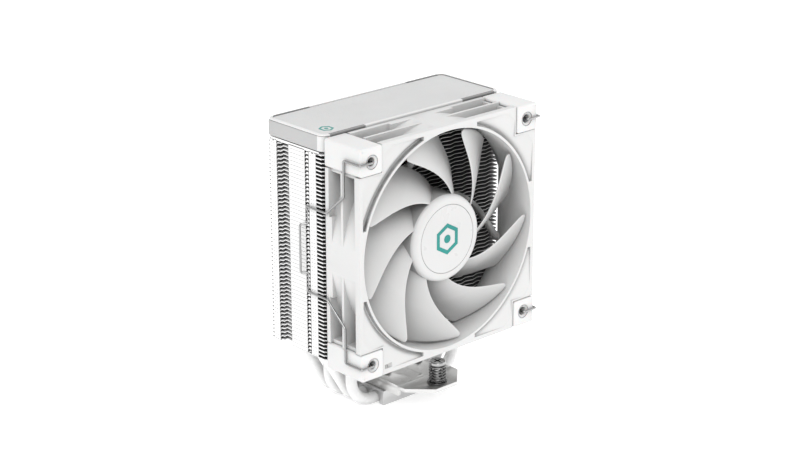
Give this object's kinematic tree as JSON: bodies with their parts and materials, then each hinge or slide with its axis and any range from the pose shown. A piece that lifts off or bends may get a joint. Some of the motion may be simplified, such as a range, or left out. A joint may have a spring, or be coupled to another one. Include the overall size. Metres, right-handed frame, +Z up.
{
  "type": "cpu tower cooler",
  "caption": "White single-tower processor cooler: nickel heat pipes rise from a flat base through a stack of level fins, with a front fan on wire clips and sprung crossbar screws.",
  "frame": {"origin": "centre of the base face that rests on the processor", "axes": "+Z up from the processor through the fins, -Y the way the fan faces, +X to the right of someone who looks at the fan"},
  "size_m": [0.1268, 0.0964, 0.155],
  "materials": {
    "base_aluminium": "fly-cut, satin",
    "nickel_steel": "nickel plated, semi-gloss",
    "screw_steel": "zinc plated",
    "spring_steel": "oiled",
    "pipe_coating": "white coat over copper, semi-gloss",
    "fin_coating": "white powder coat, satin",
    "cover_plastic": "fine grid texture on top, satin sides",
    "trim_plastic": "satin grey",
    "frame_plastic": "moulded, satin",
    "blade_plastic": "moulded, satin",
    "pad_rubber": "soft matte",
    "label_film": "printed film, satin",
    "yoke_steel": "drawn",
    "magnet_ferrite": "bonded ferrite, matte",
    "shaft_steel": "ground",
    "sleeve_brass": "turned, oiled",
    "stator_steel": "laminated",
    "coil_copper": "enamelled copper wire",
    "board_laminate": "solder mask",
    "clip_wire": "drawn spring wire, bright",
    "black_nickel": "black nickel, bright"
  },
  "bodies": {
    "heatsink": {"base_block": "base_aluminium", "base_cap": "base_aluminium", "crossbar": "nickel_steel", "fin_stack": "fin_coating", "top_cover": "cover_plastic", "cover_trim_left": "trim_plastic", "cover_trim_right": "trim_plastic", "fan_frame": "frame_plastic", "motor_label": "label_film", "bearing_sleeve": "sleeve_brass", "stator_core": "stator_steel", "motor_board": "board_laminate", "crossbar_fixing_screw_1": "screw_steel", "heat_pipe_1": "pipe_coating", "stator_coil_1": "coil_copper", "crossbar_fixing_screw_2": "screw_steel", "heat_pipe_2": "pipe_coating", "stator_coil_2": "coil_copper", "crossbar_fixing_screw_3": "screw_steel", "heat_pipe_3": "pipe_coating", "stator_coil_3": "coil_copper", "crossbar_fixing_screw_4": "screw_steel", "heat_pipe_4": "pipe_coating", "stator_coil_4": "coil_copper", "fan_pad_top_left": "pad_rubber", "fan_pad_top_right": "pad_rubber", "fan_pad_bottom_right": "pad_rubber", "fan_pad_bottom_left": "pad_rubber", "screw_spring_front": "black_nickel", "seat_washer_front": "screw_steel", "screw_spring_rear": "black_nickel", "seat_washer_rear": "screw_steel"},
    "rotor": {"impeller": "blade_plastic", "hub_label": "label_film", "rotor_yoke": "yoke_steel", "rotor_magnet": "magnet_ferrite", "rotor_shaft": "shaft_steel", "shaft_clip": "spring_steel"},
    "clip_left": {"fan_clip_left": "clip_wire"},
    "clip_right": {"fan_clip_right": "clip_wire"},
    "front_press": {"thrust_washer_front": "screw_steel"},
    "front_screw": {"spring_screw_front": "black_nickel", "screw_retainer_front": "spring_steel"},
    "rear_press": {"thrust_washer_rear": "screw_steel"},
    "rear_screw": {"spring_screw_rear": "black_nickel", "screw_retainer_rear": "spring_steel"}
  },
  "joints": [
    {"name": "fan_spin", "type": "hinge", "parent": "heatsink", "child": "rotor", "pos_m": [0, -0.04, 0.094], "axis": [0, -1, 0], "continuous": true},
    {"name": "clip_left_swing", "type": "hinge", "parent": "heatsink", "child": "clip_left", "pos_m": [-0.0525, -0.0498, 0.094], "axis": [0, 0, 1], "range_deg": [0, 25]},
    {"name": "clip_right_swing", "type": "hinge", "parent": "heatsink", "child": "clip_right", "pos_m": [0.0525, -0.0498, 0.094], "axis": [0, 0, -1], "range_deg": [0, 25]},
    {"name": "front_screw_press", "type": "slide", "parent": "heatsink", "child": "front_press", "axis": [0, 0, -1], "range_m": [0, 0.003], "stiffness_N_per_m": 2000, "deforming": ["screw_spring_front"]},
    {"name": "front_screw_turn", "type": "hinge", "parent": "front_press", "child": "front_screw", "pos_m": [0, -0.0392, 0.02], "axis": [0, 0, 1], "continuous": true},
    {"name": "rear_screw_press", "type": "slide", "parent": "heatsink", "child": "rear_press", "axis": [0, 0, -1], "range_m": [0, 0.003], "stiffness_N_per_m": 2000, "deforming": ["screw_spring_rear"]},
    {"name": "rear_screw_turn", "type": "hinge", "parent": "rear_press", "child": "rear_screw", "pos_m": [0, 0.0392, 0.02], "axis": [0, 0, 1], "continuous": true}
  ]
}
